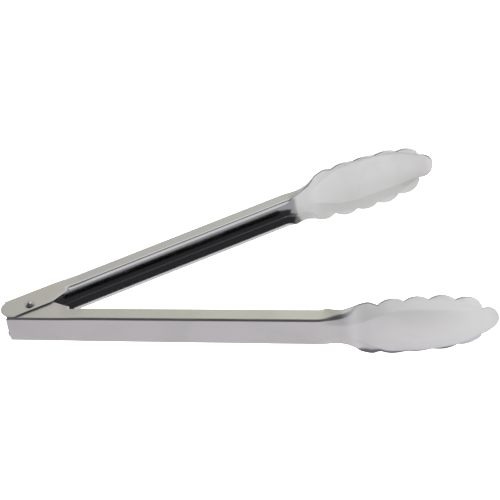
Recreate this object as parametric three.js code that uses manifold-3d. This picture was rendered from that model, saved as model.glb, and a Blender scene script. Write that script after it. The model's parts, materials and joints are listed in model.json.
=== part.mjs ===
// Spring-loaded kitchen tongs, 12 inches long, lying on their side.
// Two pressed sheet-steel arms turn on one rivet, and a torsion spring round the rivet holds them open.
//
// An arm is one sheet, described in the arm's own frame: s runs along the arm from the pivot to the tip,
// depth runs inward from the outside of the web, and z runs along the rivet.
// At each s the outside of half a section is a curve that starts on the arm's middle line and turns
// at up to three soft bends: the ridge round the scoop's floor, the fold between web and flange, and the
// rim, which is a lip rolled inward on the flange and an outward flare on the scoop's lobes.

import * as THREE from 'three';
import { ParametricGeometry } from 'three/addons/geometries/ParametricGeometry.js';
import { mergeVertices } from 'three/addons/utils/BufferGeometryUtils.js';
import Module from 'manifold-3d';

const wasm = await Module();
wasm.setup();

// ---- driving dimensions, millimetres and degrees ----
const OPEN_ANGLE = 34.6; // between the arms at rest, where the spring holds them
const SHEET = 0.9;
const PIVOT_DEPTH = 12.25; // rivet's axis, from the outside of each web
const WEB_END = -12.9; // rear end of the web
const WEB_BOW = 0.5; // how far that end bows out
const EAR_STEP = 0.4; // how far forward of that end the ears start
const TIP = 292.08;

// half widths of the web, outside, along the arm
const ARM_HALF_REAR = 9.6;
const ARM_HALF_FRONT = 10.0;
const EAR_JOIN = 12; // sections behind here slide back to follow the rear outline
const EAR_END = 19; // the ears are parallel up to here
const CHANNEL_START = 38; // and the flanges fully flared from here
const NECK = 183; // where the channel starts to open into the scoop

const FLANGE_TURN = 84.7;
const FOLD = { radius: 1.5, extra: 2, from: 186, to: 200 }; // the fold softens by extra between these
const FLANGE_DEPTH = 9.6;
// the lip rolls over along start and opens out again along stop
const LIP = { radius: 0.95, flat: 1.9, start: [25, 28], stop: [184, 192] };
const RIDGE_BEND = { width: 1.2, extra: 0.2, from: 200, to: 225 };
const NECK_EDGE_FROM = [182, 189]; // the outline changes from the channel's to the neck's between these

// ears: half width outside, depth along the straight edge, where the slope down to the flange starts and
// ends, and the round ends as [s, depth, radius], first for the ear at negative z
const OUTER_EAR = {
  half: 10.65, depth: 17.4, slope: [12, 25.5], ends: [[-10.2, 9.4, 8.1], [-6.4, 11.3, 6.1]],
};
const INNER_EAR = {
  half: 9.4, depth: 17.2, slope: [12, 24.5], ends: [[-9.7, 9.4, 7.85], [-9.7, 9.4, 7.85]],
};

// scoop: [s, half-length of the section] at the valleys between lobes, and the tip's round lobe
const VALLEYS = [[221, 20.2], [236.6, 22.4], [251.2, 22.6], [266.8, 20.3], [282.7, 10.5]];
const LOBE_RADIUS = 12.5;
const TIP_LOBE = { s: 281.5, radius: 10.6 };

// curves along the arm, as [s, value]
const RIDGE = [[NECK, 7.3], [192, 5.4], [200, 4.8], [209, 6.8], [215, 10], [221, 13.2], [228, 15.4],
  [240, 16.4], [252, 15.9], [262, 14.9], [272, 13.3], [282.7, 10.1]];
const FLOOR_DEPTH = [[NECK, 0], [198, 1.2], [206, 1.3], [219, -0.4], [226, -0.8], [233, -0.5], [245, 0.6],
  [257, 2.2], [269, 5], [281, 9.8], [TIP, 15.4]];
const FLOOR_TURN = [[200, 0], [209, 3], [222, 14], [236, 21]];
const WALL_HEADING = [[NECK, 0], [192, 9], [204, 10], [210, 16], [215, 22], [221, 34], [237, 45], [252, 48]];
const NECK_FOLD = [[NECK, 9.68], [192, 10.3], [198, 11.4], [204, 14], [210, 19.6], [221, 22]];
const NECK_HEADING = [[186, FLANGE_TURN], [192, 82], [201, 72], [207, 52], [212, 20]];
const NECK_EDGE = [[188, 19.3], [193, 17.4], [198, 16.2], [204, 17.5], [210, 19.9], [215.5, 21.4],
  [221, 20.2]];
const LOBE_FLARE = [[205, 0], [221, 8], [244, 8], [262, 22]];
const LIP_LIMIT = 200; // past here the rim follows the valleys

const RIVET = { shank: 1.6, head: 3.0, dome: 2.1, gap: 0.3, rings: 6, sides: 24 };
const BORE_SIDES = 20;
const SPRING = { wire: 1.3, meanRadius: 3.2, fullTurns: 4, pitch: 1.55, leg: 24, legSlant: 16 };

// how finely the sheet is drawn
const SECTION_STEPS = 24; // along the curve from one column to the next
const PROBE = 0.05; // how far off the neighbouring sections lie that give the sheet's normal
const LOBE_ROWS = [0, 0.22, 0.5, 0.78]; // where sections lie along a lobe
const TIP_ROWS = 5;
const FLAT_COLUMNS = [0.2, 0.4, 0.6]; // where columns lie on a stretch without its bend
const RIDGE_COLUMNS = [0.8, 0.82, 0.84]; // the ridge's columns stay within these shares of the half-length
const LEAST_FOLD = { turn: 0.3, room: 2.5 }; // a slighter fold, or one nearer the edge, gets no columns
const LEAST_LIP = 0.02;
const WELD = 1e-4; // points closer than this are one

// ---- small helpers ----
const radians = THREE.MathUtils.degToRad;
const smooth = (a, b, x) => THREE.MathUtils.smoothstep(x, a, b);
const lerp = THREE.MathUtils.lerp;

// a curve through the points that never overshoots them: the slope at a point is the harmonic mean of
// its two chords' slopes, or level at a peak, a dip or an end
function curve(points, x) {
  const last = points.length - 1;
  if (x <= points[0][0]) return points[0][1];
  if (x >= points[last][0]) return points[last][1];
  const span = (i) => points[i + 1][0] - points[i][0];
  const chord = (i) => (points[i + 1][1] - points[i][1]) / span(i);
  const slope = (i) => {
    if (i === 0 || i === last || chord(i - 1) * chord(i) <= 0) return 0;
    const before = 2 * span(i) + span(i - 1);
    const after = span(i) + 2 * span(i - 1);
    return (before + after) / (before / chord(i - 1) + after / chord(i));
  };
  const k = points.findIndex((p) => p[0] > x) - 1;
  const h = span(k);
  const t = (x - points[k][0]) / h;
  const rest = 1 - t;
  return (1 + 2 * t) * rest * rest * points[k][1] + t * rest * rest * h * slope(k)
    + t * t * (3 - 2 * t) * points[k + 1][1] - t * t * rest * h * slope(k + 1);
}

// ---- the sheet's outline ----

// lobes are arcs of one radius through each pair of neighbouring valleys, and the tip is one round lobe
function lobeEdge(s) {
  const k = VALLEYS.findIndex((v) => v[0] >= s);
  if (k < 1) return Math.sqrt(Math.max(TIP_LOBE.radius ** 2 - (s - TIP_LOBE.s) ** 2, 0));
  const [s0, e0] = VALLEYS[k - 1];
  const [s1, e1] = VALLEYS[k];
  const chord = Math.hypot(s1 - s0, e1 - e0);
  const rise = Math.sqrt(LOBE_RADIUS ** 2 - chord * chord / 4);
  const centreS = (s0 + s1) / 2 + rise * (e1 - e0) / chord;
  const centreE = (e0 + e1) / 2 - rise * (s1 - s0) / chord;
  return centreE + Math.sqrt(LOBE_RADIUS ** 2 - (s - centreS) ** 2);
}

// where the valleys lie, as a straight line from one to the next
function valleyLine(s) {
  const k = THREE.MathUtils.clamp(VALLEYS.findIndex((v) => v[0] >= s), 1, VALLEYS.length - 1);
  const [s0, e0] = VALLEYS[k - 1];
  const [s1, e1] = VALLEYS[k];
  return lerp(e0, e1, THREE.MathUtils.clamp((s - s0) / (s1 - s0), 0, 1));
}

// everything that the section at s needs, as lengths along the sheet from its middle line
function station(ear, s) {
  const spread = smooth(EAR_END, CHANNEL_START, s);
  const halfWidth = lerp(ear.half, lerp(ARM_HALF_REAR, ARM_HALF_FRONT, s / NECK), spread);
  const corner = 1 - Math.PI / 4;
  const inset = FOLD.radius * corner;
  const fold = s < NECK ? halfWidth - inset : curve(NECK_FOLD, s);
  const flangeTop = fold - inset + FLANGE_DEPTH - LIP.radius * corner;
  const channelEdge = flangeTop + LIP.radius * Math.PI / 4 + LIP.flat;
  const slope = THREE.MathUtils.clamp((s - ear.slope[0]) / (ear.slope[1] - ear.slope[0]), 0, 1);
  const earEdge = lerp(fold - inset + ear.depth, channelEdge, slope);
  const neckEdge = lerp(earEdge, curve(NECK_EDGE, s), smooth(...NECK_EDGE_FROM, s));
  const lip = smooth(...LIP.start, s) * (1 - smooth(...LIP.stop, s));
  const flare = s < TIP_LOBE.s ? radians(curve(LOBE_FLARE, s)) : 0;
  const floorTurn = radians(curve(FLOOR_TURN, s));
  const wall = radians(curve(WALL_HEADING, s));
  const flange = radians(s < NECK ? lerp(90, FLANGE_TURN, spread) : curve(NECK_HEADING, s));
  return {
    edge: s > VALLEYS[0][0] ? lobeEdge(s) : neckEdge,
    floorDepth: curve(FLOOR_DEPTH, s),
    floorTurn,
    ridge: curve(RIDGE, s),
    ridgeTurn: wall - floorTurn,
    ridgeWidth: RIDGE_BEND.width + RIDGE_BEND.extra * smooth(RIDGE_BEND.from, RIDGE_BEND.to, s),
    fold,
    foldTurn: Math.max(flange - wall, 0),
    foldWidth: FOLD.radius * Math.PI / 2 + FOLD.extra * smooth(FOLD.from, FOLD.to, s),
    rim: s < LIP_LIMIT ? flangeTop : valleyLine(s),
    rimTurn: lip * Math.PI / 2 - flare,
    rimWidth: LIP.radius * Math.PI / 2,
    lip,
  };
}

// columns across half a section: three at each bend, or spread evenly where that bend is all but flat
function columns(p) {
  const across = (middle, width) => [-0.5, 0, 0.5].map((k) => middle + k * width);
  const shared = (from, to) => FLAT_COLUMNS.map((k) => lerp(from, to, k));
  const ridge = across(p.ridge, p.ridgeWidth).map((x, i) => Math.min(x, p.edge * RIDGE_COLUMNS[i]));
  const folded = p.foldTurn > LEAST_FOLD.turn && p.fold < p.edge - LEAST_FOLD.room;
  const fold = folded ? across(p.fold, p.foldWidth) : shared(ridge[2], p.edge);
  const rim = p.lip > LEAST_LIP ? across(p.rim, p.rimWidth) : shared(fold[2], p.edge);
  return [0, ridge[0] / 2, ...ridge, ...fold, ...rim, p.edge];
}

// ---- the sheet as a solid ----

// outside of half a section at s, for each column: its length, depth, z and the sheet's heading there
function halfSection(ear, s) {
  const p = station(ear, s);
  const turned = (l, at, width) => smooth(at - width / 2, at + width / 2, l);
  const heading = (l) => p.floorTurn * Math.min(l / p.ridge, 1)
    + p.ridgeTurn * turned(l, p.ridge, p.ridgeWidth) + p.foldTurn * turned(l, p.fold, p.foldWidth)
    + p.rimTurn * turned(l, p.rim, p.rimWidth);
  const points = [];
  let along = 0;
  let z = 0;
  let depth = p.floorDepth;
  for (const length of columns(p)) {
    const step = (length - along) / SECTION_STEPS;
    for (let i = 0; i < SECTION_STEPS; i++) {
      const h = heading(along + (i + 0.5) * step);
      z += step * Math.cos(h);
      depth += step * Math.sin(h);
    }
    along = length;
    points.push({ length, z, depth, heading: heading(length) });
  }
  return points;
}

// rear outline of the sheet: the web's bowed end, then the ear's round end, by depth down the ear
function rearEnd(end, point, fold) {
  if (point.length < fold) return WEB_END + WEB_BOW * (Math.min(point.length / fold, 1) ** 2 - 1);
  const [endS, endDepth, radius] = end;
  const arc = endS - Math.sqrt(Math.max(radius ** 2 - (point.depth - endDepth) ** 2, 0));
  return point.depth > endDepth ? arc : Math.min(WEB_END + EAR_STEP, arc);
}

// stations from rear to tip: at every bend in the outline and in the curves above
const STATIONS = [WEB_END, -10, -3, 4, EAR_JOIN, ...LIP.start, CHANNEL_START, 110, NECK, 186, 189, 192,
  196, 200, 204, 207, 210, 213, 215.5, 218.5];
for (let i = 0; i + 1 < VALLEYS.length; i++) {
  for (const t of LOBE_ROWS) STATIONS.push(lerp(VALLEYS[i][0], VALLEYS[i + 1][0], t));
}
for (let i = 0; i <= TIP_ROWS; i++) {
  STATIONS.push(lerp(VALLEYS[4][0], TIP, Math.sin(i / TIP_ROWS * Math.PI / 2)));
}

function place(ear, side, s, point) {
  if (s >= EAR_JOIN) return new THREE.Vector3(s, point.depth, point.z);
  const rear = rearEnd(ear.ends[side], point, station(ear, WEB_END).fold);
  return new THREE.Vector3(lerp(rear, EAR_JOIN, (s - WEB_END) / (EAR_JOIN - WEB_END)), point.depth, point.z);
}

// outside and inside points of half a station; the inside is offset along the sheet's own normal
function halfStation(ear, side, s) {
  const behind = halfSection(ear, s - PROBE);
  const front = Math.min(s + PROBE, TIP);
  const ahead = halfSection(ear, front);
  return halfSection(ear, s).map((point, i) => {
    const outside = place(ear, side, s, point);
    const rise = ahead[i].depth - behind[i].depth;
    const alongArm = new THREE.Vector3(front - s + PROBE, rise, ahead[i].z - behind[i].z);
    const across = new THREE.Vector3(0, Math.sin(point.heading), Math.cos(point.heading));
    const inward = across.cross(alongArm).normalize();
    return { outside, inside: outside.clone().addScaledVector(inward, SHEET) };
  });
}

// the loop round a section: outside from edge to edge, then inside back again; the first and last
// station close onto the middle of the sheet
function sheetGeometry(ear) {
  const rows = STATIONS.map((s) => [halfStation(ear, 0, s), halfStation(ear, 1, s)]);
  const n = rows[0][0].length - 1;
  const loop = 4 * n + 2;
  const mirrored = (v) => new THREE.Vector3(v.x, v.y, -v.z);
  const surface = (u, v, target) => {
    const j = (loop - Math.round(u * loop)) % loop;
    const row = Math.round(v * (rows.length + 1));
    const face = j <= 2 * n ? 'outside' : 'inside';
    const k = j <= 2 * n ? j - n : 3 * n + 1 - j;
    const cell = rows[THREE.MathUtils.clamp(row - 1, 0, rows.length - 1)][k < 0 ? 0 : 1][Math.abs(k)];
    const capped = row === 0 || row === rows.length + 1;
    const point = capped ? cell.outside.clone().lerp(cell.inside, 0.5) : cell[face];
    target.copy(k < 0 ? mirrored(point) : point);
  };
  return new ParametricGeometry(surface, loop, rows.length + 1);
}

// ---- cutting with manifold-3d ----
function toSolid(geometry) {
  const bare = geometry.clone();
  bare.deleteAttribute('normal');
  bare.deleteAttribute('uv');
  const merged = mergeVertices(bare, WELD);
  const triangles = [];
  const index = merged.index.array;
  for (let i = 0; i < index.length; i += 3) {
    const [a, b, c] = index.slice(i, i + 3);
    if (a !== b && b !== c && c !== a) triangles.push(a, b, c);
  }
  const points = merged.attributes.position.array;
  return new wasm.Manifold(new wasm.Mesh({
    numProp: 3, vertProperties: points, triVerts: new Uint32Array(triangles),
  }));
}

function toGeometry(solid) {
  const mesh = solid.getMesh();
  const geometry = new THREE.BufferGeometry();
  geometry.setAttribute('position', new THREE.BufferAttribute(mesh.vertProperties, 3));
  geometry.setIndex(new THREE.BufferAttribute(mesh.triVerts, 1));
  geometry.computeVertexNormals();
  return geometry;
}

function armGeometry(ear) {
  const radius = RIVET.shank + RIVET.gap;
  const bore = new THREE.CylinderGeometry(radius, radius, 3 * ear.half, BORE_SIDES);
  bore.rotateX(Math.PI / 2);
  bore.translate(0, PIVOT_DEPTH, 0);
  const sheet = toSolid(sheetGeometry(ear));
  return toGeometry(sheet.subtract(toSolid(bore)));
}

// ---- rivet and spring ----

// a shank with a low dome beyond each outer ear
function rivetGeometry() {
  const seat = OUTER_EAR.half + RIVET.gap;
  const radius = (RIVET.head ** 2 + RIVET.dome ** 2) / (2 * RIVET.dome);
  const profile = [];
  for (let i = 0; i <= RIVET.rings; i++) {
    const angle = Math.asin(RIVET.head / radius) * i / RIVET.rings;
    const height = seat + RIVET.dome - radius + radius * Math.cos(angle);
    profile.push(new THREE.Vector2(radius * Math.sin(angle), height));
  }
  profile.push(new THREE.Vector2(RIVET.shank, seat));
  const half = profile.map((p) => new THREE.Vector2(p.x, -p.y)).reverse();
  const lathe = new THREE.LatheGeometry([...profile, ...half].reverse(), RIVET.sides);
  return lathe.rotateX(Math.PI / 2);
}

// coil round the rivet with a straight leg at each end. It is drawn wound up, as when the arms are closed:
// each leg leaves the coil on a tangent and slants out towards its arm's web, clear of both webs
class SpringPath extends THREE.Curve {
  getPoint(t, target = new THREE.Vector3()) {
    const { meanRadius, fullTurns, pitch, leg, legSlant } = SPRING;
    const start = Math.PI / 2 + radians(legSlant);
    const wound = 2 * Math.PI * (fullTurns + 1) - 2 * start;
    const coil = meanRadius * wound;
    const along = t * (coil + 2 * leg) - leg;
    const onCoil = THREE.MathUtils.clamp(along, 0, coil);
    const angle = start + onCoil / meanRadius;
    const past = along - onCoil;
    const height = pitch * wound / (2 * Math.PI) * (0.5 - onCoil / coil);
    return target.set(meanRadius * Math.cos(angle) - past * Math.sin(angle),
      meanRadius * Math.sin(angle) + past * Math.cos(angle), height);
  }
}

function springGeometry() {
  const round = new THREE.Shape();
  round.absarc(0, 0, SPRING.wire / 2, 0, 2 * Math.PI);
  const path = new SpringPath();
  return new THREE.ExtrudeGeometry(round, { curveSegments: 3, steps: 90, extrudePath: path });
}

// ---- assembly ----
function steel(color, roughness) {
  return new THREE.MeshStandardMaterial({ color, roughness, metalness: 1 });
}

function mesh(name, geometry, material) {
  const piece = new THREE.Mesh(geometry, material);
  piece.name = name;
  return piece;
}

// turn an arm's (s, depth, z) frame about the rivet so that it points at the given angle in the plan;
// flip puts its web on the left of that direction, as the outer arm's is
function armGroup(angle, flip, piece) {
  const frame = new THREE.Group();
  piece.position.y = -PIVOT_DEPTH;
  frame.rotation.x = flip ? Math.PI : 0;
  frame.add(piece);
  const turned = new THREE.Group();
  turned.rotation.z = radians(angle);
  turned.add(frame);
  return turned;
}

const pressed = steel(0xc9c9c9, 0.28);
const outerArm = mesh('outer_arm', armGeometry(OUTER_EAR), pressed);
const innerArm = mesh('inner_arm', armGeometry(INNER_EAR), pressed.clone());
const rivet = mesh('pivot_rivet', rivetGeometry(), steel(0xa8a8a8, 0.22));
const spring = mesh('torsion_spring', springGeometry(), steel(0x8f9092, 0.3));
spring.rotation.z = radians(OPEN_ANGLE / 2);

const tongs = new THREE.Group();
tongs.add(armGroup(OPEN_ANGLE / 2, true, outerArm));
tongs.add(armGroup(-OPEN_ANGLE / 2, false, innerArm));
tongs.add(rivet);
tongs.add(spring);

// the origin is the middle of the footprint, at the height of the surface that the tongs lie on
const box = new THREE.Box3().setFromObject(tongs, true);
const centre = box.getCenter(new THREE.Vector3());
tongs.position.set(-centre.x, -centre.y, -box.min.z);

const model = new THREE.Group();
model.add(tongs);
export default model;
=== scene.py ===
"""Spring-loaded kitchen tongs: two pressed steel arms on a rivet, held open by a torsion spring.

The fine arm surfaces follow the same rules as the frame's arms. An arm has its own frame, in millimetres:
s runs along the arm from the pivot to the tip, depth runs inward from the outside of the web, and z runs
along the rivet. The row frame is in metres.
"""

import json

import bpy
import numpy as np
from mathutils import Matrix, Vector


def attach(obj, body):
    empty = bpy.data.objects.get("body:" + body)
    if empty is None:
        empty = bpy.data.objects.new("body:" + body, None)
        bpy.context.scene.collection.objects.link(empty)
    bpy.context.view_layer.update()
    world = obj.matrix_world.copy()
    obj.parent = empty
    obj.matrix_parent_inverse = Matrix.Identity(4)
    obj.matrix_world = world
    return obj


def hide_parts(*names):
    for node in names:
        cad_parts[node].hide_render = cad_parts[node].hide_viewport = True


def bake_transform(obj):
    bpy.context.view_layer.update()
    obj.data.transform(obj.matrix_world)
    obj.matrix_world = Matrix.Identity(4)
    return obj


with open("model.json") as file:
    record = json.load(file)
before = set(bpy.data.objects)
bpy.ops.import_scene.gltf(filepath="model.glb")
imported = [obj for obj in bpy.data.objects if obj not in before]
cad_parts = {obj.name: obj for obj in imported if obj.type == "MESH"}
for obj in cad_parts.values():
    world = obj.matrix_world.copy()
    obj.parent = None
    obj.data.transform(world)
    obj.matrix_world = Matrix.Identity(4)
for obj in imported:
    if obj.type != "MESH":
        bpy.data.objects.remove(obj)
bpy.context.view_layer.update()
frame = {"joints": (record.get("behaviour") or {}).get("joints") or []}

MM = 0.001
PIVOT = np.array(frame["joints"][0]["pos_m"]) / MM

# ---- driving dimensions, millimetres and degrees, as in the frame ----
OPEN_ANGLE = 34.6
SHEET = 0.9
PIVOT_DEPTH = 12.25
WEB_END = -12.9
WEB_BOW = 0.5
EAR_STEP = 0.4  # how far past the web's end an ear's rear edge lies at most, near the web
ARM_HALF_REAR = 9.6
ARM_HALF_FRONT = 10.0
EAR_END = 19
CHANNEL_START = 38
NECK = 183
FLANGE_TURN = 84.7
FOLD_RADIUS = 1.5
FOLD_WIDENING = [(186, 0), (200, 2)]
FOLD_FADE = 0.04  # radians over which a fold comes in softly
FLANGE_DEPTH = 9.6
LIP_RADIUS = 0.95
LIP_FLAT = 1.9
LIP_START = (25, 28)
LIP_STOP = (184, 192)
LIP_LIMIT = 200  # past it the rim's bend follows the scoop's valleys
RIDGE_WIDTH = [(200, 1.2), (225, 1.4)]
NECK_EDGE_FROM = (182, 189)  # where the edge leaves the channel's for the neck's
# ears: depth of the straight edge, where the slope down to the flange starts and ends, and their round
# ends as (s, depth, radius), for the ear below the arm's middle line and the one above it
OUTER_EAR = {
    "half": 10.65, "depth": 17.4, "slope": (12, 25.5), "ends": ((-10.2, 9.4, 8.1), (-6.4, 11.3, 6.1))}
INNER_EAR = {
    "half": 9.4, "depth": 17.2, "slope": (12, 24.5), "ends": ((-9.7, 9.4, 7.85), (-9.7, 9.4, 7.85))}
VALLEYS = np.array([(221, 20.2), (236.6, 22.4), (251.2, 22.6), (266.8, 20.3), (282.7, 10.5)])
LOBE_RADIUS = 12.5
TIP_LOBE_S = 281.5
TIP_LOBE_RADIUS = 10.6
EAR_JOIN = 12  # behind it the stations slide back to the rear outline

# how finely the sheet is drawn
COLUMNS = 50  # across half a sheet
SECTION_STEPS = 700  # along the half-section's integral
DENSITY_STEPS = 500  # along the columns' density
COLUMN_DENSITY = {"flat": 0.6, "ridge": 0.5, "fold": 3.0, "rim": 2.5}
MOST_TURN = 1.2  # radians of a bend past which columns get no denser
BUMP_REACH = 0.75  # of a bend's width, over which they are dense
ROWS = {"ear": 26, "slope": 45, "channel": 36, "neck": 84, "lobe": 33, "tip": 30}
CHANNEL_SPAN = (40, 180)  # the even stretch, where rows can be far apart
BUNCHING = 0.6  # 0 for even rows along a lobe, 1 for rows spaced by the cosine
TIP_GAP = 0.02  # from the last row to the very tip
STEEPEST = 2.2  # the inset of a steep edge is at most this many rims
RIM = 0.2  # radius of the corners of the sheared edges, which lie inside the frame's outline
SHARP = 50  # degrees between faces past which an edge is drawn sharp
REAR_INSET = 0.1  # how far inside the frame's coarser rear outline the fine one lies
WEB_INSET = 0.012  # and how far the fine web lies inside the frame's

# curves along the arm, as (s, value)
RIDGE = [(NECK, 7.3), (192, 5.4), (200, 4.8), (209, 6.8), (215, 10), (221, 13.2), (228, 15.4), (240, 16.4),
         (252, 15.9), (262, 14.9), (272, 13.3), (282.7, 10.1)]
FLOOR_DEPTH = [(NECK, 0), (198, 1.2), (206, 1.3), (219, -0.4), (226, -0.8), (233, -0.5), (245, 0.6),
               (257, 2.2), (269, 5), (281, 9.8), (292.08, 15.4)]
FLOOR_TURN = [(200, 0), (209, 3), (222, 14), (236, 21)]
WALL_HEADING = [(NECK, 0), (192, 9), (204, 10), (210, 16), (215, 22), (221, 34), (237, 45), (252, 48)]
NECK_FOLD = [(NECK, 9.68), (192, 10.3), (198, 11.4), (204, 14), (210, 19.6), (221, 22)]
NECK_HEADING = [(186, FLANGE_TURN), (192, 82), (201, 72), (207, 52), (212, 20)]
NECK_EDGE = [(188, 19.3), (193, 17.4), (198, 16.2), (204, 17.5), (210, 19.9), (215.5, 21.4), (221, 20.2)]
LOBE_FLARE = [(205, 0), (221, 8), (244, 8), (262, 22)]

RIVET = {"shank": 1.6, "head": 3.0, "dome": 2.1, "gap": 0.3, "corner": 0.3}
SPRING = {"wire": 1.3, "mean_radius": 3.2, "full_turns": 4, "pitch": 1.55, "leg": 24, "slant": 16}


# ---- curves ----
def smooth(low, high, x):
    """0 below low, 1 above high, and 3t^2 - 2t^3 between them."""
    t = np.clip((np.asarray(x, float) - low) / (high - low), 0, 1)
    return t * t * (3 - 2 * t)


def lerp(a, b, t):
    return a + (b - a) * t


def curve(points, x):
    """A cubic through the points that never overshoots: the slope at a point is the harmonic mean of its
    two chords' slopes, or level at a peak, a dip or an end."""
    px, py = np.array(points, float).T
    span = np.diff(px)
    chord = np.diff(py) / span
    slope = np.zeros(len(px))
    before = 2 * span[1:] + span[:-1]
    after = span[1:] + 2 * span[:-1]
    rising = chord[:-1] * chord[1:] > 0
    safe = np.where(rising, chord[:-1], 1), np.where(rising, chord[1:], 1)
    slope[1:-1] = np.where(rising, (before + after) / (before / safe[0] + after / safe[1]), 0)
    x = np.clip(np.asarray(x, float), px[0], px[-1])
    k = np.clip(np.searchsorted(px, x, side="right") - 1, 0, len(px) - 2)
    h = span[k]
    t = (x - px[k]) / h
    rest = 1 - t
    return ((1 + 2 * t) * rest**2 * py[k] + t * rest**2 * h * slope[k]
            + t**2 * (3 - 2 * t) * py[k + 1] - t**2 * rest * h * slope[k + 1])


# ---- the sheet's outline ----
def lobe_edge(s):
    """Half-length of the section along the scoop: an arc of one radius through each pair of neighbouring
    valleys, then one round lobe at the tip."""
    edge = np.sqrt(np.maximum((TIP_LOBE_RADIUS - RIM) ** 2 - (s - TIP_LOBE_S) ** 2, 0))
    for (s0, e0), (s1, e1) in zip(VALLEYS[:-1], VALLEYS[1:]):
        chord = np.hypot(s1 - s0, e1 - e0)
        rise = np.sqrt(LOBE_RADIUS**2 - chord**2 / 4)
        centre_s = (s0 + s1) / 2 + rise * (e1 - e0) / chord
        centre_e = (e0 + e1) / 2 - rise * (s1 - s0) / chord
        arc = centre_e + np.sqrt(np.maximum(LOBE_RADIUS**2 - (s - centre_s) ** 2, 0))
        slope = (s - centre_s) / np.maximum(arc - centre_e, 1)
        inset = RIM * np.minimum(np.hypot(1, slope), STEEPEST)
        edge = np.where((s >= s0) & (s <= s1), arc - inset, edge)
    return edge


def stations(ear, s):
    """Everything that the sections at s need, as lengths along the sheet from its middle line."""
    spread = smooth(EAR_END, CHANNEL_START, s)
    half_width = lerp(ear["half"], lerp(ARM_HALF_REAR, ARM_HALF_FRONT, s / NECK), spread)
    corner = 1 - np.pi / 4
    inset = FOLD_RADIUS * corner
    fold = np.where(s < NECK, half_width - inset, curve(NECK_FOLD, s))
    flange_top = fold - inset + FLANGE_DEPTH - LIP_RADIUS * corner
    channel_edge = flange_top + LIP_RADIUS * np.pi / 4 + LIP_FLAT
    slope_start, slope_end = ear["slope"]
    slope = np.clip((s - slope_start) / (slope_end - slope_start), 0, 1)
    ear_edge = lerp(fold - inset + ear["depth"], channel_edge, slope)
    neck_edge = lerp(ear_edge, curve(NECK_EDGE, s), smooth(*NECK_EDGE_FROM, s)) - RIM
    lip = smooth(*LIP_START, s) * (1 - smooth(*LIP_STOP, s))
    floor_turn = np.radians(curve(FLOOR_TURN, s))
    wall = np.radians(curve(WALL_HEADING, s))
    flange = np.radians(np.where(s < NECK, lerp(90, FLANGE_TURN, spread), curve(NECK_HEADING, s)))
    flare = np.where(s < TIP_LOBE_S, curve(LOBE_FLARE, s), 0)
    valley_line = np.interp(s, *VALLEYS.T)
    return {
        "edge": np.where(s > VALLEYS[0, 0], lobe_edge(s), neck_edge),
        "floor_depth": curve(FLOOR_DEPTH, s),
        "floor_turn": floor_turn,
        "ridge": curve(RIDGE, s),
        "ridge_turn": wall - floor_turn,
        "ridge_width": curve(RIDGE_WIDTH, s),
        "fold": fold,
        "fold_turn": (flange - wall + np.hypot(flange - wall, FOLD_FADE)) / 2,
        "fold_width": FOLD_RADIUS * np.pi / 2 + curve(FOLD_WIDENING, s),
        "rim": np.where(s < LIP_LIMIT, flange_top, valley_line),
        "rim_turn": lip * np.pi / 2 - np.radians(flare),
        "rim_width": np.full_like(s, LIP_RADIUS * np.pi / 2),
    }


def half_sections(ear, s, columns):
    """Depth, z and length of the outside of half a section for every s, at a number of columns. The
    heading is the sum of even turns at the floor, ridge, fold and rim, and (z, depth) is the integral
    of (cos heading, sin heading)."""
    p = {name: value[:, None] for name, value in stations(ear, s).items()}
    fine = np.linspace(0, 1, SECTION_STEPS)
    length = p["edge"] * fine
    heading = p["floor_turn"] * np.minimum(length / p["ridge"], 1)
    for bend in ("ridge", "fold", "rim"):
        at = (length - p[bend]) / p[bend + "_width"]
        heading = heading + p[bend + "_turn"] * np.clip(at + 0.5, 0, 1)
    middle = (heading[:, 1:] + heading[:, :-1]) / 2
    step = p["edge"] / (len(fine) - 1)
    start = np.zeros((len(s), 1))
    z = np.concatenate([start, np.cumsum(np.cos(middle) * step, axis=1)], axis=1)
    depth = p["floor_depth"] + np.concatenate([start, np.cumsum(np.sin(middle) * step, axis=1)], axis=1)
    pick = column_shares(p, columns)
    rows = np.arange(len(s))[:, None]
    last = len(fine) - 1
    at = np.clip(pick * last, 0, last - 0.001)
    k = at.astype(int)
    t = at - k
    return (lerp(depth[rows, k], depth[rows, k + 1], t), lerp(z[rows, k], z[rows, k + 1], t),
            pick * p["edge"])


def column_shares(p, columns):
    """Shares of the half-length at which columns lie. Their density is even along the flats plus a bump
    exp(-x^2) at each bend, and equal steps of its running sum place the columns."""
    fine = np.linspace(0, 1, DENSITY_STEPS)
    length = p["edge"] * fine
    density = np.full_like(length, COLUMN_DENSITY["flat"])
    for bend in ("ridge", "fold", "rim"):
        turn = np.minimum(np.abs(p[bend + "_turn"]), MOST_TURN)
        bump = np.exp(-((length - p[bend]) / (BUMP_REACH * p[bend + "_width"])) ** 2)
        density = density + COLUMN_DENSITY[bend] * turn * bump
    total = np.cumsum(density, axis=1)
    total = (total - total[:, :1]) / (total[:, -1:] - total[:, :1])
    wanted = np.linspace(0, 1, columns)
    return np.stack([np.interp(wanted, row, fine) for row in total])


def rear_end(end, length, depth, fold):
    """s of the sheet's rear outline: a bowed end on the web, then the ear's round end by depth."""
    bow = WEB_END + WEB_BOW * (np.minimum(length / fold, 1) ** 2 - 1)
    end_s, end_depth, radius = end
    arc = end_s - np.sqrt(np.maximum(radius**2 - (depth - end_depth) ** 2, 0))
    round_end = np.where(depth > end_depth, arc, np.minimum(WEB_END + EAR_STEP, arc))
    return np.where(length < fold, bow, round_end) + RIM + REAR_INSET


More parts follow.
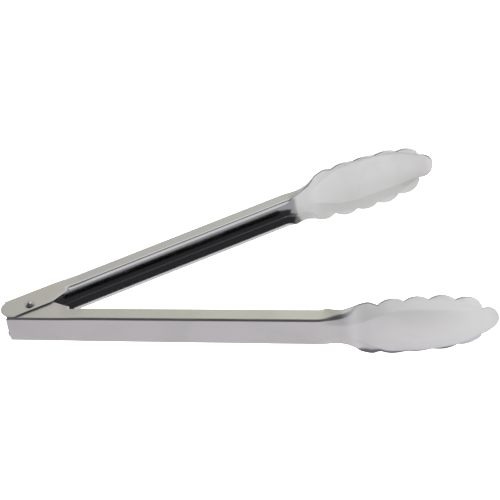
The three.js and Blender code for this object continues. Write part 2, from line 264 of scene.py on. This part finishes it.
def arm_stations():
    """Places along the arm: closer at the ear, the lip's ends and the neck, with a row on each valley.
    Along a lobe they bunch at its ends, as the cosine of an even turn does, and at the tip as its sine."""
    channel_start, channel_end = CHANNEL_SPAN
    stretches = ((WEB_END, EAR_JOIN, "ear"), (EAR_JOIN, channel_start, "slope"),
                 (channel_start, channel_end, "channel"), (channel_end, VALLEYS[0, 0], "neck"))
    places = [[WEB_END]]
    for start, end, name in stretches:
        places.append(np.linspace(start, end, ROWS[name])[1:])
    even = np.linspace(0, 1, ROWS["lobe"])
    bunched = lerp(even, (1 - np.cos(np.pi * even)) / 2, BUNCHING)
    for start, end in zip(VALLEYS[:-1, 0], VALLEYS[1:, 0]):
        places.append(lerp(start, end, bunched)[1:])
    tip = TIP_LOBE_S + TIP_LOBE_RADIUS - RIM - TIP_GAP
    turn = np.linspace(0, np.pi / 2, ROWS["tip"])
    places.append(lerp(VALLEYS[-1, 0], tip, np.sin(turn))[1:])
    return np.concatenate(places)


def arm_surface(ear, columns=COLUMNS):
    """Outside of the whole sheet as a grid of (s, depth, z) points: rows along the arm, columns across.
    Rows behind EAR_JOIN slide back so that the first row is the rear outline."""
    s = arm_stations()
    depth, z, length = half_sections(ear, s, columns)
    fold = stations(ear, s[:1])["fold"]
    share = (s[:, None] - WEB_END) / (EAR_JOIN - WEB_END)
    halves = []
    for end in ear["ends"]:
        rear = rear_end(end, length[:1], depth[:1], fold)
        place = np.where(share < 1, lerp(rear, EAR_JOIN, share), s[:, None])
        halves.append(np.stack([place, depth, z], axis=2))
    below = halves[0][:, :0:-1] * np.array([1, 1, -1])
    return np.concatenate([below, halves[1]], axis=1)


# ---- sheets with thickness ----
def unit(v):
    return v / np.maximum(np.linalg.norm(v, axis=-1, keepdims=True), 1e-9)


def sheet_mesh(outside, thickness, rim, turns=3):
    """Vertices and faces of a sheet: the outside grid, the same grid moved in along its normals, and a
    rim that joins them all the way round, flat with a quarter round at each corner."""
    along = np.gradient(outside, axis=0)
    across = np.gradient(outside, axis=1)
    inward = unit(np.cross(across, along))
    inside = outside + thickness * inward
    rows, cols = outside.shape[:2]
    index = np.arange(rows * cols).reshape(rows, cols)
    a, b, c, d = index[:-1, :-1], index[1:, :-1], index[1:, 1:], index[:-1, 1:]
    front = np.stack([a, b, c, d], axis=-1).reshape(-1, 4)
    back = front[:, ::-1] + rows * cols
    border = np.concatenate([index[0, :-1], index[:-1, -1], index[-1, :0:-1], index[:0:-1, 0]])
    edge = outside.reshape(-1, 3)[border]
    normal = inward.reshape(-1, 3)[border]
    ahead = unit(np.roll(edge, -1, axis=0) - np.roll(edge, 1, axis=0))
    bulge = unit(np.cross(ahead, normal))
    corner = np.pi / 2 * np.arange(1, turns + 1) / turns
    sink = rim * (1 - np.cos(corner))
    sink = np.concatenate([sink, thickness - sink[::-1]])
    reach = rim * np.sin(np.concatenate([corner, corner[::-1]]))
    rings = [edge + normal * down + bulge * out for down, out in zip(sink, reach)]
    points = np.concatenate([outside.reshape(-1, 3), inside.reshape(-1, 3), *rings])
    count = len(border)
    first = 2 * rows * cols
    between = [first + k * count + np.arange(count) for k in range(2 * turns)]
    loops = [border, *between, border + rows * cols]
    faces = [front, back]
    for low, high in zip(loops[:-1], loops[1:]):
        faces.append(np.stack([low, np.roll(low, -1), np.roll(high, -1), high], axis=-1))
    return points, np.concatenate(faces)


def place_arm(points, angle, flip):
    """From an arm's frame to the row frame, in metres: turned about the rivet to the given angle, with the
    web on the left of that direction when flip is true and on the right when it is false."""
    lateral = points[:, 1] + WEB_INSET - PIVOT_DEPTH
    z = points[:, 2]
    if flip:
        lateral, z = -lateral, -z
    a = np.radians(angle)
    x = points[:, 0] * np.cos(a) - lateral * np.sin(a)
    y = points[:, 0] * np.sin(a) + lateral * np.cos(a)
    return (np.stack([x, y, z], axis=1) + PIVOT) * MM


def new_piece(name, points, faces, material):
    """A smooth-shaded mesh object at the origin."""
    mesh = bpy.data.meshes.new(name)
    mesh.from_pydata(points.tolist(), [], [list(face) for face in faces])
    mesh.validate()
    mesh.shade_smooth()
    mesh.materials.append(material)
    piece = bpy.data.objects.new(name, mesh)
    bpy.context.scene.collection.objects.link(piece)
    return piece


def tube_faces(rings, sides):
    """Quads of an open tube of rings, each with the same number of sides."""
    i, j = np.meshgrid(np.arange(rings - 1), np.arange(sides), indexing="ij")
    k = (j + 1) % sides
    quads = np.stack([i * sides + j, i * sides + k, (i + 1) * sides + k, (i + 1) * sides + j], axis=-1)
    return quads.reshape(-1, 4)


def bore_cutter(sides=64, reach=15):
    """A closed round bar along the rivet, as wide as the bore through the ears."""
    radius = RIVET["shank"] + RIVET["gap"]
    turn = np.linspace(0, 2 * np.pi, sides, endpoint=False)
    ring = np.stack([radius * np.cos(turn), radius * np.sin(turn)], axis=1)
    low, high = (np.column_stack([ring, np.full(sides, z)]) for z in (-reach, reach))
    faces = tube_faces(2, sides).tolist()
    faces += [list(range(sides - 1, -1, -1)), list(range(sides, 2 * sides))]
    mesh = bpy.data.meshes.new("bore")
    mesh.from_pydata(((np.concatenate([low, high]) + PIVOT) * MM).tolist(), [], faces)
    bar = bpy.data.objects.new("bore", mesh)
    bpy.context.scene.collection.objects.link(bar)
    return bar


def sheet_piece(name, outside, angle, flip, material):
    """One arm: the sheet from its outside grid, with the rivet's bore cut through both ears."""
    points, faces = sheet_mesh(outside, SHEET, RIM)
    piece = new_piece(name, place_arm(points, angle, flip), faces, material)
    give_sheet_coordinates(piece.data, points, outside.size // 3, flip)
    cutting = bore_cutter()
    cut = piece.modifiers.new("bore", "BOOLEAN")
    cut.operation = "DIFFERENCE"
    cut.solver = "EXACT"
    cut.object = cutting
    bpy.context.view_layer.update()
    seen = piece.evaluated_get(bpy.context.evaluated_depsgraph_get())
    finished = bpy.data.meshes.new_from_object(seen)
    piece.modifiers.clear()
    piece.data = finished
    finished.set_sharp_from_angle(angle=np.radians(SHARP))
    bpy.data.objects.remove(cutting)
    return piece


# the painted shade along the sheared edge of a scoop, a dark line: where along the arm it comes in, fades
# and widens
LINE_STARTS = (196, 206)
LINE_WIDENS = (200, 214)
LINE_NARROWS = (258, 276)
LINE_EXTRA_WIDTH = 9
UPPER_DARKNESS = 0.75
NECK_DARKNESS = 0.9
UNDER_FADES = (255, 275)
UNDER_LOSS = 0.75
TIP_STARTS = (283, 290)
OUTER_TIP_DARKNESS = 0.9
INNER_TIP_DARKNESS = 0.2


def painted_edge_shade(s, z, flip):
    """How dark the painted shade line along the sheared edge is, and how many times wider than its
    narrowest. It lies under the inner arm's scoop, where it is wide, and on the upper side of both, over
    the first part of
    each lobe: clip(1.6 - 2.4 t) at share t of the lobe. flip is true for the outer arm, whose z points
    down."""
    upper = (z > 0) != flip
    share = np.interp(s, VALLEYS[:, 0], np.arange(len(VALLEYS))) % 1
    above = np.where(s > VALLEYS[0, 0], np.clip(1.6 - 2.4 * share, 0, 1), NECK_DARKNESS)
    under = 0.0 if flip else 1 - UNDER_LOSS * smooth(*UNDER_FADES, s)
    tip = OUTER_TIP_DARKNESS * smooth(*TIP_STARTS, s) if flip else INNER_TIP_DARKNESS
    line = np.where(upper, UPPER_DARKNESS * above, under)
    widened = LINE_EXTRA_WIDTH * smooth(*LINE_WIDENS, s) * (1 - smooth(*LINE_NARROWS, s))
    wide = np.where(upper | flip, 0, widened)
    return np.where(s > VALLEYS[-1, 0], tip, line) * smooth(*LINE_STARTS, s), 1 + wide


FLANGE_START = 1  # depth past which a point lies on a flange
FLANGE_SHARE = 0.7  # of a flange's depth, counted as way across the sheet


def give_sheet_coordinates(mesh, points, count, flip):
    """Three UV maps for the finish and its painted light and shade to follow. "sheet" has s and the way
    across the sheet, which is z and then on down the flange, in tenths of a metre. "side" is 1 on the
    inside in its first value and 1 on the sheared rim in its second. "edge" has the distance from the
    sheared edge in centimetres, less where the painted shade line along it is wide, and how dark that
    painted line is."""
    corner = np.zeros(len(mesh.loops), int)
    mesh.loops.foreach_get("vertex_index", corner)
    grid = points[:count].reshape(-1, 2 * COLUMNS - 1, 3)
    steps = np.linalg.norm(np.diff(grid, axis=1), axis=2)
    from_left = np.concatenate([np.zeros((len(grid), 1)), np.cumsum(steps, axis=1)], axis=1)
    distance = np.minimum(from_left, from_left[:, -1:] - from_left).ravel() / 10
    dark, width = painted_edge_shade(points[:, 0], points[:, 2], flip)
    edge = np.stack([np.zeros(len(points)), dark], axis=1)
    edge[:2 * count, 0] = np.tile(distance, 2) / width[:2 * count]
    down_flange = np.maximum(points[:, 1] - FLANGE_START, 0) * FLANGE_SHARE
    across = points[:, 2] + np.sign(points[:, 2]) * down_flange
    number = np.arange(len(points))
    maps = {"sheet": np.stack([points[:, 0], across], axis=1) / 100,
            "side": np.stack([(number >= count) & (number < 2 * count), number >= 2 * count], axis=1),
            "edge": edge}
    for name, values in maps.items():
        mesh.uv_layers.new(name=name).data.foreach_set("uv", values[corner].astype(np.float32).ravel())


def rivet_mesh(sides=96, dome_rings=26, corner_rings=6):
    """A lathe round the z axis: beyond each outer ear a low dome, whose radius is (head^2 + dome^2) /
    (2 dome), with a quarter round at its edge, and the shank between the two."""
    seat = OUTER_EAR["half"] + RIVET["gap"]
    corner = RIVET["corner"]
    radius = (RIVET["head"] ** 2 + RIVET["dome"] ** 2) / (2 * RIVET["dome"])
    overlap = 0.35  # of the corner, that the dome runs into
    first_angle = 0.012
    angle = np.linspace(first_angle, np.arcsin((RIVET["head"] - corner * overlap) / radius), dome_rings)
    height = seat + RIVET["dome"] - radius + radius * np.cos(angle)
    dome = np.stack([radius * np.sin(angle), height], axis=1)
    first_turn = -0.1
    turn = np.linspace(first_turn, np.pi / 2, corner_rings)
    edge = np.stack([RIVET["head"] - corner + corner * np.cos(turn),
                     seat + corner - corner * np.sin(turn)], axis=1)
    shank = np.array([[RIVET["shank"], seat], [RIVET["shank"], 0]])
    half = np.concatenate([dome[dome[:, 1] > edge[0, 1]], edge, shank])
    profile = np.concatenate([half, half[-2::-1] * np.array([1, -1])])
    spin = np.linspace(0, 2 * np.pi, sides, endpoint=False)
    r, z = profile[:, :1], np.repeat(profile[:, 1:], sides, axis=1)
    rings = np.stack([r * np.cos(spin), r * np.sin(spin), z], axis=2).reshape(-1, 3)
    count = len(profile)
    poles = np.array([[0, 0, seat + RIVET["dome"]], [0, 0, -seat - RIVET["dome"]]])
    faces = tube_faces(count, sides)[:, ::-1].tolist()
    ring = np.arange(sides)
    top, bottom = count * sides, count * sides + 1
    faces += [[top, a, b] for a, b in zip(ring, np.roll(ring, -1))]
    last = (count - 1) * sides
    faces += [[bottom, last + b, last + a] for a, b in zip(ring, np.roll(ring, -1))]
    return (np.concatenate([rings, poles]) + PIVOT) * MM, faces


def spring_mesh(rings=560, sides=20, end_rings=4):
    """A round wire swept along the spring's middle line: a straight leg, the coil round the rivet at
    (r cos a, r sin a, even rise), and a straight leg. The legs rest against the webs, one along each arm,
    and the wire rounds off over its last rings."""
    wire = SPRING["wire"] / 2
    radius, leg = SPRING["mean_radius"], SPRING["leg"]
    half_open = np.radians(OPEN_ANGLE / 2)
    slant = np.radians(SPRING["slant"])
    start = np.pi / 2 + half_open + slant
    turn = 2 * np.pi * (SPRING["full_turns"] + 1) - 2 * start
    coil = radius * turn
    along = np.linspace(-leg, coil + leg, rings)
    on_coil = np.clip(along, 0, coil)
    angle = start + on_coil / radius
    past = along - on_coil
    height = SPRING["pitch"] * turn / (2 * np.pi) * (0.5 - on_coil / coil)
    line = np.stack([radius * np.cos(angle) - past * np.sin(angle),
                     radius * np.sin(angle) + past * np.cos(angle), height], axis=1)
    ahead = unit(np.gradient(line, axis=0))
    side = unit(np.cross(ahead, np.array([0, 0, 1.0])))
    up = np.cross(side, ahead)
    end = np.minimum(np.arange(rings), np.arange(rings)[::-1])
    least = 0.02
    taper = np.sqrt(np.clip(1 - (1 - np.minimum(end / end_rings, 1)) ** 2, least, 1))[:, None, None]
    spin = np.linspace(0, 2 * np.pi, sides, endpoint=False)[:, None]
    ring = side[:, None] * np.cos(spin) + up[:, None] * np.sin(spin)
    points = (line[:, None] + wire * taper * ring).reshape(-1, 3)
    faces = tube_faces(rings, sides).tolist()
    faces += [list(range(sides - 1, -1, -1)), list(range((rings - 1) * sides, rings * sides))]
    top = PIVOT + np.array([0, 0, height[0]])
    bottom = PIVOT + np.array([0, 0, height[-1]])
    return (points + PIVOT) * MM, faces, top * MM, bottom * MM


# ---- shading helpers ----
def add(tree, kind, inputs=None, **settings):
    """A node with its settings and inputs given; an input is a value or another node's output."""
    made = tree.nodes.new(kind)
    for name, value in settings.items():
        setattr(made, name, value)
    for key, value in (inputs or {}).items():
        if isinstance(value, bpy.types.NodeSocket):
            tree.links.new(value, made.inputs[key])
        else:
            made.inputs[key].default_value = value
    return made


def calc(tree, operation, *values):
    return add(tree, "ShaderNodeMath", dict(enumerate(values)), operation=operation).outputs[0]


def ramp(tree, value, low, high, to_low=0.0, to_high=1.0):
    """value taken from low..high to to_low..to_high, softly at both ends."""
    inputs = {"Value": value, "From Min": low, "From Max": high, "To Min": to_low, "To Max": to_high}
    return add(tree, "ShaderNodeMapRange", inputs, interpolation_type="SMOOTHSTEP").outputs["Result"]


def lerp_value(tree, share, a, b):
    return add(tree, "ShaderNodeMix", {0: share, 2: a, 3: b}, data_type="FLOAT").outputs[0]


def mix_colour(tree, share, a, b):
    made = add(tree, "ShaderNodeMix", data_type="RGBA")
    for index, value in ((0, share), (6, a), (7, b)):
        if isinstance(value, bpy.types.NodeSocket):
            tree.links.new(value, made.inputs[index])
        else:
            made.inputs[index].default_value = value
    return made.outputs[2]


def node_group(name, inputs, outputs, build):
    """A shader group; build(tree, sockets) returns a value for each output."""
    tree = bpy.data.node_groups.new(name, "ShaderNodeTree")
    for label, kind, default in inputs:
        socket = tree.interface.new_socket(label, in_out="INPUT", socket_type=kind)
        if default is not None:
            socket.default_value = default
    for label, kind in outputs:
        tree.interface.new_socket(label, in_out="OUTPUT", socket_type=kind)
    entry = tree.nodes.new("NodeGroupInput")
    leave = tree.nodes.new("NodeGroupOutput")
    for label, value in build(tree, entry.outputs).items():
        tree.links.new(value, leave.inputs[label])
    return tree


def use(tree, group, **inputs):
    made = tree.nodes.new("ShaderNodeGroup")
    made.node_tree = group
    for label, value in inputs.items():
        socket = made.inputs[label.replace("_", " ")]
        if isinstance(value, bpy.types.NodeSocket):
            tree.links.new(value, socket)
        else:
            socket.default_value = value
    return made.outputs


def new_material(name):
    material = bpy.data.materials.new(name)
    material.use_nodes = True
    tree = material.node_tree
    tree.nodes.clear()
    principled = tree.nodes.new("ShaderNodeBsdfPrincipled")
    output = tree.nodes.new("ShaderNodeOutputMaterial")
    tree.links.new(principled.outputs[0], output.inputs["Surface"])
    return material, tree, principled


def uv_place(tree, name):
    return add(tree, "ShaderNodeUVMap", uv_map=name).outputs[0]


def split(tree, vector):
    """The first two values of a vector."""
    return add(tree, "ShaderNodeSeparateXYZ", {0: vector}).outputs[:2]


def add_weighted(tree, value, *terms):
    """value plus each term's value times its weight."""
    for term, weight in terms:
        value = calc(tree, "ADD", value, calc(tree, "MULTIPLY", term, weight))
    return value


VALUE, VECTOR = "NodeSocketFloat", "NodeSocketVector"


def build_rolling_grain(tree, given):
    """Fine lines left by rolling: noise stretched along the sheet, that a coarser noise breaks up."""
    stretched = add(tree, "ShaderNodeVectorMath", {0: given["Place"], 1: given["Stretch"]},
                    operation="MULTIPLY")
    fine = add(tree, "ShaderNodeTexNoise", {"Vector": stretched.outputs[0], "Scale": given["Scale"],
                                            "Detail": 4.0, "Roughness": 0.6})
    broad = add(tree, "ShaderNodeTexNoise", {"Vector": given["Place"], "Scale": 9.0, "Detail": 2.0})
    lines = calc(tree, "SUBTRACT", fine.outputs[0], 0.5)
    patch = ramp(tree, broad.outputs[0], 0.35, 0.7, 0.4, 1.0)
    return {"Height": calc(tree, "MULTIPLY", lines, patch)}


def build_handling_marks(tree, given):
    """Sparse hair scratches in two directions and faint smudges."""
    marks = []
    for spin, seed in ((0.5, 3.0), (-0.9, 11.0)):
        turned = add(tree, "ShaderNodeMapping", {"Vector": given["Place"], "Rotation": (0.2, spin, spin),
                                                 "Location": (seed, 0, seed), "Scale": (4, 60, 60)})
        noise = add(tree, "ShaderNodeTexNoise", {"Vector": turned.outputs[0], "Scale": 9.0, "Detail": 1.0})
        marks.append(ramp(tree, noise.outputs[0], 0.70, 0.76))
    scratches = calc(tree, "MAXIMUM", *marks)
    smudge = add(tree, "ShaderNodeTexNoise", {"Vector": given["Place"], "Scale": 38.0, "Detail": 3.0,
                                              "Roughness": 0.55, "Distortion": 0.6})
    return {"Scratches": scratches, "Smudges": ramp(tree, smudge.outputs[0], 0.4, 0.75)}


ROLLING_GRAIN = node_group(
    "rolling grain",
    [("Place", VECTOR, None), ("Stretch", VECTOR, (1, 1, 1)), ("Scale", VALUE, 400.0)],
    [("Height", VALUE)], build_rolling_grain)
HANDLING_MARKS = node_group(
    "handling marks", [("Place", VECTOR, None)], [("Scratches", VALUE), ("Smudges", VALUE)],
    build_handling_marks)


# colours and finishes of the pressed sheet; its places are in tenths of a metre from the pivot
POLISHED = (0.60, 0.60, 0.60, 1)
# painted light and shade: one satin finish, given a darker colour outside the scoop and a lighter one
# inside it
SATIN_OUTSIDE_PAINTED_SHADE = (0.63, 0.625, 0.625, 1)
SATIN_INSIDE_PAINTED_LIGHT = (0.685, 0.68, 0.675, 1)
HANDLED = (0.56, 0.56, 0.55, 1)
# painted shade: the channel's inside gets this darker colour for the shade between its flanges
CHANNEL_PAINTED_SHADE = (0.32, 0.32, 0.33, 1)
# painted highlight: the sheared rims get a lighter colour for the thin bright line along the edges
SHEARED_RIM_PAINTED_HIGHLIGHT = (0.68, 0.68, 0.68, 1)
# painted shade: the dark line laid along some sheared edges
EDGE_PAINTED_SHADE = (0.06, 0.06, 0.065, 1)
SATIN_FROM_OUTSIDE = (1.95, 2.10)
SATIN_FROM_INSIDE = (1.915, 1.95)
LIPS_FROM = (0.24, 0.28)
LIP_REACH = (0.26, 0.34)  # centimetres from the sheared edge, over which the lip's shine ends
LINE_REACH = (0.03, 0.08)  # and over which the dark line ends
WEB_ROUGHNESS = 0.30
BRIGHT_ROUGHNESS = 0.13
SATIN_ROUGHNESS = 0.38
SATIN_METALLIC = 0.45


def pressed_steel(name):
    """Pressed stainless sheet: smooth along the channel and satin over the scoop, where it was drawn.
    The lips and the channel's inside are the brightest polished. The channel's inside is painted darker as
    its shade, the satin is painted lighter inside the scoop and darker outside it, and the sheared rims
    are painted lighter as a highlight, with a painted shade line along some of them."""
    material, tree, steel = new_material(name)
    sheet = uv_place(tree, "sheet")
    along, _ = split(tree, sheet)
    inside, rim = split(tree, uv_place(tree, "side"))
    edge_distance, edge_painted_shade = split(tree, uv_place(tree, "edge"))
    place = add(tree, "ShaderNodeTexCoord").outputs["Object"]
    grain = use(tree, ROLLING_GRAIN, Place=sheet, Stretch=(0.03, 1.0, 1.0), Scale=700.0)
    marks = use(tree, HANDLING_MARKS, Place=place)
    waves = add(tree, "ShaderNodeTexNoise", {"Vector": place, "Scale": 26.0, "Detail": 1.0})

    satin = lerp_value(tree, inside, ramp(tree, along, *SATIN_FROM_OUTSIDE),
                       ramp(tree, along, *SATIN_FROM_INSIDE))
    lips = calc(tree, "MULTIPLY", ramp(tree, edge_distance, *LIP_REACH, 1.0, 0.0),
                ramp(tree, along, *LIPS_FROM))
    bright = calc(tree, "MAXIMUM", inside, lips)
    rough = lerp_value(tree, bright, WEB_ROUGHNESS, BRIGHT_ROUGHNESS)
    rough = lerp_value(tree, satin, rough, SATIN_ROUGHNESS)
    rough = add_weighted(tree, rough, (marks["Smudges"], 0.05), (marks["Scratches"], 0.08),
                         (grain["Height"], 0.04))
    tree.links.new(rough, steel.inputs["Roughness"])
    tree.links.new(ramp(tree, satin, 0.0, 1.0, 1.0, SATIN_METALLIC), steel.inputs["Metallic"])

    # painted light and shade: the scoop's satin is lighter on the inside of the sheet and darker on the
    # outside
    drawn = mix_colour(tree, inside, SATIN_OUTSIDE_PAINTED_SHADE, SATIN_INSIDE_PAINTED_LIGHT)
    clean = mix_colour(tree, satin, POLISHED, drawn)
    stained = mix_colour(tree, calc(tree, "MULTIPLY", marks["Smudges"], 0.4), clean, HANDLED)
    # painted shade: the channel's inside, short of the scoop's satin, is darkened in colour
    shade = calc(tree, "MULTIPLY", inside, calc(tree, "SUBTRACT", 1.0, satin))
    shaded = mix_colour(tree, shade, stained, CHANNEL_PAINTED_SHADE)
    # painted highlight: the sheared rims are lightened in colour
    rimmed = mix_colour(tree, rim, shaded, SHEARED_RIM_PAINTED_HIGHLIGHT)
    # painted shade: a dark line laid along the sheared edge
    line = calc(tree, "MULTIPLY", edge_painted_shade, ramp(tree, edge_distance, *LINE_REACH, 0.9, 0.0))
    tree.links.new(mix_colour(tree, line, rimmed, EDGE_PAINTED_SHADE), steel.inputs["Base Color"])

    soft = add(tree, "ShaderNodeBump", {"Height": waves.outputs[0], "Strength": 0.12, "Distance": 0.0006})
    lined = add(tree, "ShaderNodeBump", {"Height": grain["Height"], "Strength": 0.12,
                                         "Distance": 0.00006, "Normal": soft.outputs[0]})
    tree.links.new(lined.outputs[0], steel.inputs["Normal"])
    return material


def turned_steel(name, colour, roughness, scale):
    """Drawn or turned steel for the rivet and the spring, with fine specks and smudges."""
    material, tree, steel = new_material(name)
    place = add(tree, "ShaderNodeTexCoord").outputs["Object"]
    grain = use(tree, ROLLING_GRAIN, Place=place, Stretch=(1.0, 1.0, 1.0), Scale=scale)
    marks = use(tree, HANDLING_MARKS, Place=place)
    rough = add_weighted(tree, roughness, (marks["Smudges"], 0.08), (grain["Height"], 0.12))
    tree.links.new(rough, steel.inputs["Roughness"])
    dull = tuple(0.82 * c for c in colour) + (1,)
    tree.links.new(mix_colour(tree, marks["Smudges"], colour + (1,), dull), steel.inputs["Base Color"])
    steel.inputs["Metallic"].default_value = 1.0
    bump = add(tree, "ShaderNodeBump", {"Height": grain["Height"], "Strength": 0.15, "Distance": 0.00005})
    tree.links.new(bump.outputs[0], steel.inputs["Normal"])
    return material


# ---- the pieces ----
arm_steel = pressed_steel("pressed stainless steel")
rivet_steel = turned_steel("rivet steel", (0.52, 0.52, 0.53), 0.2, 900.0)
spring_steel = turned_steel("spring wire steel", (0.36, 0.36, 0.38), 0.26, 700.0)

outer_arm = sheet_piece("fine_outer_arm", arm_surface(OUTER_EAR), OPEN_ANGLE / 2, True, arm_steel)
inner_arm = sheet_piece("fine_inner_arm", arm_surface(INNER_EAR), -OPEN_ANGLE / 2, False, arm_steel)
rivet_points, rivet_faces = rivet_mesh()
rivet = new_piece("fine_pivot_rivet", rivet_points, rivet_faces, rivet_steel)
spring_points, spring_faces, coil_top, coil_bottom = spring_mesh()
spring = new_piece("fine_torsion_spring", spring_points, spring_faces, spring_steel)
PIECES = ((outer_arm, "outer_arm", "arm_steel"), (inner_arm, "inner_arm", "arm_steel"),
          (rivet, "pivot_rivet", "rivet_steel"), (spring, "torsion_spring", "spring_steel"))
for piece, node_name, slot_name in PIECES:
    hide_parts(node_name)
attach(outer_arm, "outer")
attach(inner_arm, "inner")
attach(rivet, "outer")
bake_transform(spring)


# ---- stage, light and camera ----
def lay_floor(half=12, cells=12, drop=0.0002):
    """A pale sheet of paper that the tongs lie on: a square grid, a hair below them."""
    line = np.linspace(-half, half, cells + 1)
    u, v = np.meshgrid(line, line, indexing="ij")
    points = np.stack([u.ravel(), v.ravel(), np.full(u.size, -drop)], axis=1)
    row = cells + 1
    k = (np.arange(cells)[:, None] * row + np.arange(cells)).ravel()
    faces = np.stack([k, k + row, k + row + 1, k + 1], axis=1)
    material, tree, paper = new_material("white paper")
    place = add(tree, "ShaderNodeTexCoord").outputs["Object"]
    noise = add(tree, "ShaderNodeTexNoise", {"Vector": place, "Scale": 300.0})
    tree.links.new(mix_colour(tree, noise.outputs[0], (0.93, 0.93, 0.93, 1), (0.96, 0.96, 0.96, 1)),
                   paper.inputs["Base Color"])
    paper.inputs["Roughness"].default_value = 0.9
    paper.inputs["Emission Color"].default_value = (1, 1, 1, 1)
    paper.inputs["Emission Strength"].default_value = 0.9
    paper.inputs["Specular IOR Level"].default_value = 0.0
    floor = new_piece("paper_floor", points, faces, material)
    floor.visible_glossy = False
    floor.visible_diffuse = False


def toward(azimuth, elevation):
    """Unit vector: azimuth from the front, turning to the right, and elevation from level, in degrees."""
    a, e = np.radians(azimuth), np.radians(elevation)
    return (np.sin(a) * np.cos(e), -np.cos(a) * np.cos(e), np.sin(e))


def build_soft_card(tree, given):
    """A round card in the tent: 1 inside its reach, falling to 0 over its soft edge, by angle."""
    cosine = add(tree, "ShaderNodeVectorMath", {0: given["Direction"], 1: given["Toward"]},
                 operation="DOT_PRODUCT").outputs["Value"]
    angle = calc(tree, "ARCCOSINE", cosine)
    edge = calc(tree, "ADD", given["Reach"], given["Soft edge"])
    return {"Mask": ramp(tree, angle, given["Reach"], edge, 1.0, 0.0)}


SOFT_CARD = node_group(
    "soft card",
    [("Direction", VECTOR, None), ("Toward", VECTOR, None), ("Reach", VALUE, 0.5),
     ("Soft edge", VALUE, 0.3)],
    [("Mask", VALUE)], build_soft_card)

# the cards of the tent round the tongs, each laid over those before it, with its angles in degrees:
# (azimuth, elevation), reach, soft edge and colour
TENT = (0.80, 0.80, 0.80, 1)
CARDS = [
    ((180, 20), 60, 30, (0.75, 0.75, 0.75, 1)),     # wall behind
    ((178, 60), 22, 10, (0.66, 0.66, 0.55, 1)),     # cream, high behind
    ((188, 37), 7, 8, (0.56, 0.525, 0.51, 1)),      # a dimmer patch behind the pivot
    ((160, 45), 10, 16, (1.0, 1.0, 0.84, 1)),       # brighter behind the scoops
    ((-90, 78), 18, 8, (0.03, 0.03, 0.03, 1)),      # dark, high on the left
    ((-48, 22), 38, 12, (0.12, 0.12, 0.12, 1)),     # dark wall on the front left
    ((0, 28), 34, 14, (0.10, 0.10, 0.10, 1)),       # and straight in front
    ((0, -90), 28, 18, (0.36, 0.34, 0.44, 1)),      # straight below
    ((172, -55), 18, 18, (0.36, 0.34, 0.44, 1)),    # low behind
    ((42, 26), 36, 12, (0.20, 0.20, 0.20, 1)),      # less dark, on the front right
    ((-45, -50), 32, 16, (0.71, 0.68, 0.73, 1)),    # front left, low
    ((-8, -52), 14, 20, (0.90, 0.86, 0.88, 1)),     # front, low
    ((42, -50), 26, 14, (0.90, 0.90, 0.92, 1)),     # front right, low
    ((105, 72), 14, 10, (1.4, 1.4, 1.4, 1)),        # key
]


def build_tent():
    """The world: an even grey with every card laid over it, for the steel to mirror."""
    world = bpy.data.worlds.new("light tent")
    bpy.context.scene.world = world
    world.use_nodes = True
    tree = world.node_tree
    tree.nodes.clear()
    direction = add(tree, "ShaderNodeTexCoord").outputs["Generated"]
    colour = TENT
    for place, reach, edge, tint in CARDS:
        mask = use(tree, SOFT_CARD, Direction=direction, Toward=toward(*place), Reach=np.radians(reach),
                   Soft_edge=np.radians(edge))["Mask"]
        colour = mix_colour(tree, mask, colour, tint)
    background = add(tree, "ShaderNodeBackground", {"Color": colour, "Strength": 1.0})
    output = tree.nodes.new("ShaderNodeOutputWorld")
    tree.links.new(background.outputs[0], output.inputs["Surface"])


# name, place in metres and power in watts
LAMPS = (("overhead", (0, 0, 2.2), 45), ("front", (0.9, -2.2, 0.55), 58))
LAMP_SIZE = 2.0


def hang_lamp(name, place, power):
    """A large soft lamp, turned toward the origin. It lights the paper and the satin of the scoops, and
    isn't mirrored in the steel."""
    lamp = bpy.data.lights.new(name, "AREA")
    lamp.shape = "DISK"
    lamp.size = LAMP_SIZE
    lamp.energy = power
    hung = bpy.data.objects.new(name, lamp)
    bpy.context.scene.collection.objects.link(hung)
    hung.location = place
    hung.rotation_euler = (Vector((0, 0, 0)) - Vector(place)).to_track_quat("-Z", "Y").to_euler()
    hung.visible_glossy = False


CAMERA_ANGLES = (-3.41, 38.13, -8.62)  # azimuth, elevation and roll, in degrees
CAMERA_TARGET = (0.01340, 0.02624, 0.0220)
CAMERA_DISTANCE = 1.04188
CAMERA_LENS = 115.2


def set_camera():
    """Looks down at the tongs from the inner arm's side, turned a little clockwise."""
    azimuth, elevation, roll = CAMERA_ANGLES
    target = Vector(CAMERA_TARGET)
    back = Vector(toward(azimuth, elevation))
    roll = np.radians(roll)
    right = (-back).cross(Vector((0, 0, 1))).normalized()
    up = right.cross(-back)
    across = right * np.cos(roll) + up * np.sin(roll)
    upright = up * np.cos(roll) - right * np.sin(roll)
    lens = bpy.data.cameras.new("camera")
    lens.sensor_width = 36
    lens.lens = CAMERA_LENS
    camera = bpy.data.objects.new("camera", lens)
    bpy.context.scene.collection.objects.link(camera)
    turned = Matrix((across, upright, back)).transposed().to_4x4()
    camera.matrix_world = Matrix.Translation(target + back * CAMERA_DISTANCE) @ turned
    bpy.context.scene.camera = camera


lay_floor()
build_tent()
for lamp_name, lamp_place, lamp_power in LAMPS:
    hang_lamp(lamp_name, lamp_place, lamp_power)
set_camera()
bpy.context.scene.view_settings.view_transform = "Standard"
